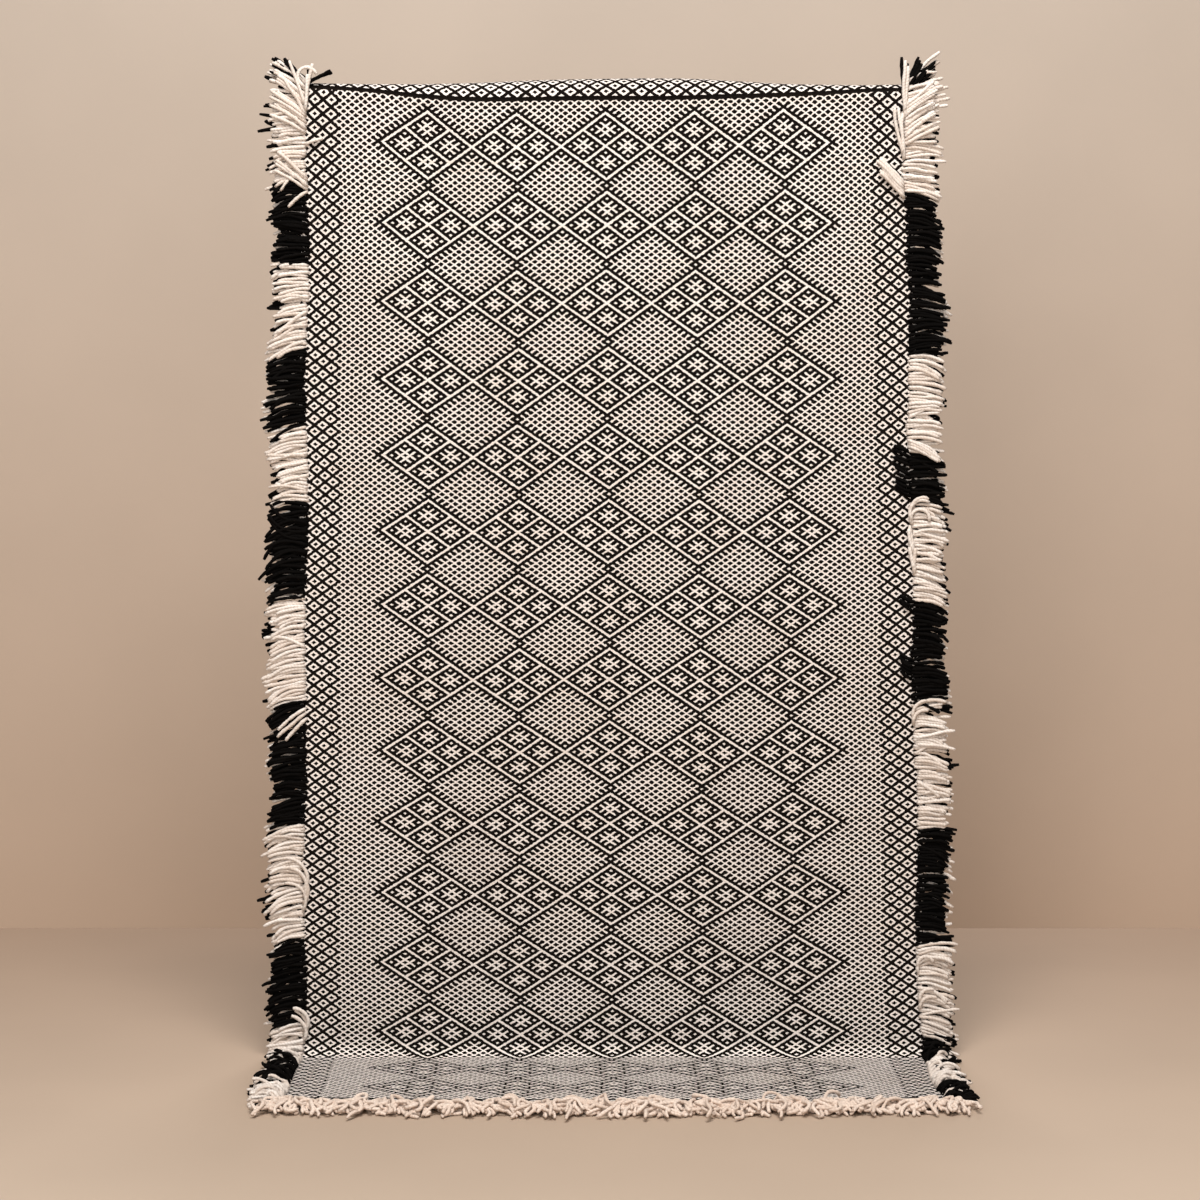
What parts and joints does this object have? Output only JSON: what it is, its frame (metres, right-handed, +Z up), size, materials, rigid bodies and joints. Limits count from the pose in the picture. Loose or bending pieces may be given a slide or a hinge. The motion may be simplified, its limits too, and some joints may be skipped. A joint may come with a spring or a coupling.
{
  "type": "berber kilim rug",
  "caption": "Double-faced flat-woven wool kilim in black and cream diamonds, hung over a soft top fold with its lower end on the floor, fringed all round.",
  "frame": {"origin": "inside the top fold, in the middle of the line that the rug hangs by", "axes": "+X to the right along the top fold as the woven front is seen, +Y to the back of the hanging, +Z up; the woven front faces -Y"},
  "size_m": [1.3906, 0.5157, 1.9004],
  "materials": {
    "kilim_cloth": "matte flat-woven wool, black and cream",
    "cream_wool": "matte plied wool yarn, cream",
    "black_wool": "matte plied wool yarn, black"
  },
  "bodies": {
    "root": {"kilim": "kilim_cloth", "fringe_left_01_black": "black_wool", "fringe_left_02_cream": "cream_wool", "fringe_left_03_black": "black_wool", "fringe_left_04_cream": "cream_wool", "fringe_left_05_black": "black_wool", "fringe_left_06_cream": "cream_wool", "fringe_left_07_black": "black_wool", "fringe_left_08_cream": "cream_wool", "fringe_left_09_black": "black_wool", "fringe_left_10_cream": "cream_wool", "fringe_left_11_black": "black_wool", "fringe_left_12_cream": "cream_wool", "fringe_left_13_cream": "cream_wool", "fringe_left_14_black": "black_wool", "fringe_left_15_cream": "cream_wool", "fringe_right_01_black": "black_wool", "fringe_right_02_cream": "cream_wool", "fringe_right_03_black": "black_wool", "fringe_right_04_cream": "cream_wool", "fringe_right_05_black": "black_wool", "fringe_right_06_cream": "cream_wool", "fringe_right_07_black": "black_wool", "fringe_right_08_cream": "cream_wool", "fringe_right_09_black": "black_wool", "fringe_right_10_cream": "cream_wool", "fringe_right_11_black": "black_wool", "fringe_right_12_black": "black_wool", "fringe_right_13_cream": "cream_wool", "fringe_right_14_black": "black_wool", "fringe_foot": "cream_wool", "fringe_back": "cream_wool"}
  },
  "joints": []
}
